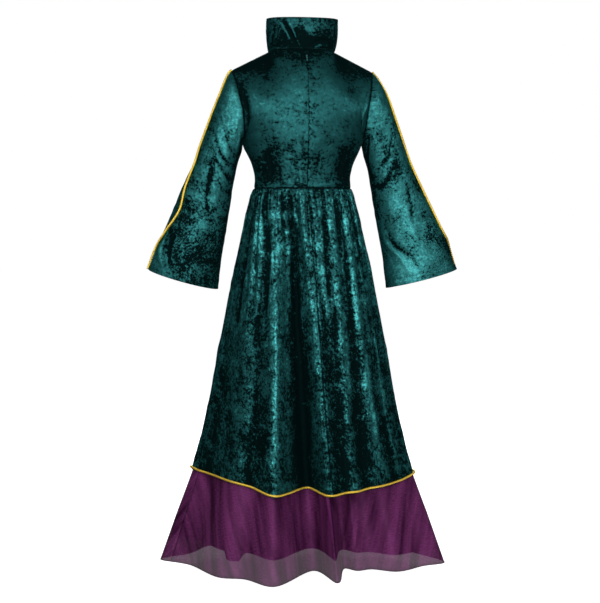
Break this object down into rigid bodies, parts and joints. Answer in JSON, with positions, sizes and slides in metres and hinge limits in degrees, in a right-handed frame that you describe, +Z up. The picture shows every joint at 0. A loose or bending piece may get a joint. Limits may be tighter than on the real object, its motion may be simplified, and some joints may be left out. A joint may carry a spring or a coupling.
{
  "type": "witch gown, filled out with no wearer",
  "caption": "Floor-length gown held out as if worn: stand-up collar, bell sleeves, gathered velvet overskirt with a corded hem over a sheer underskirt, back zip.",
  "frame": {"origin": "middle of the neck seam, level with the high points of the shoulders, where the gown hangs from its wearer", "axes": "+Z up, +Y towards the wearer's front, +X towards the wearer's right; the zip runs down the back, on -Y"},
  "size_m": [0.883, 0.5963, 1.5172],
  "materials": {
    "velvet": "teal green crushed velvet with bright and dark flecks of nap",
    "gold_cord": "twisted metallic gold cord, satin sheen",
    "organza": "sheer plum organza, crisp, light sheen",
    "lining": "opaque plum polyester lining, soft sheen",
    "zip": "small zip slider and tab, enamelled to match the velvet"
  },
  "bodies": {
    "garment": {"bodice_back_left": "velvet", "bodice_back_right": "velvet", "bodice_front": "velvet", "collar": "velvet", "sleeve_back_left": "velvet", "sleeve_front_left": "velvet", "sleeve_back_right": "velvet", "sleeve_front_right": "velvet", "overskirt_back_left": "velvet", "overskirt_back_right": "velvet", "overskirt_front": "velvet", "overskirt_cord": "gold_cord", "sleeve_cord_left": "gold_cord", "sleeve_cord_right": "gold_cord", "organza_back": "organza", "organza_front": "organza", "lining_back": "lining", "lining_front": "lining", "zip_slider": "zip"},
    "pull": {"zip_pull": "zip"}
  },
  "joints": [
    {"name": "zip_pull_hinge", "type": "hinge", "parent": "garment", "child": "pull", "pos_m": [0, -0.07461, -0.01936], "axis": [-1, 0, 0], "range_deg": [0, 150]}
  ]
}
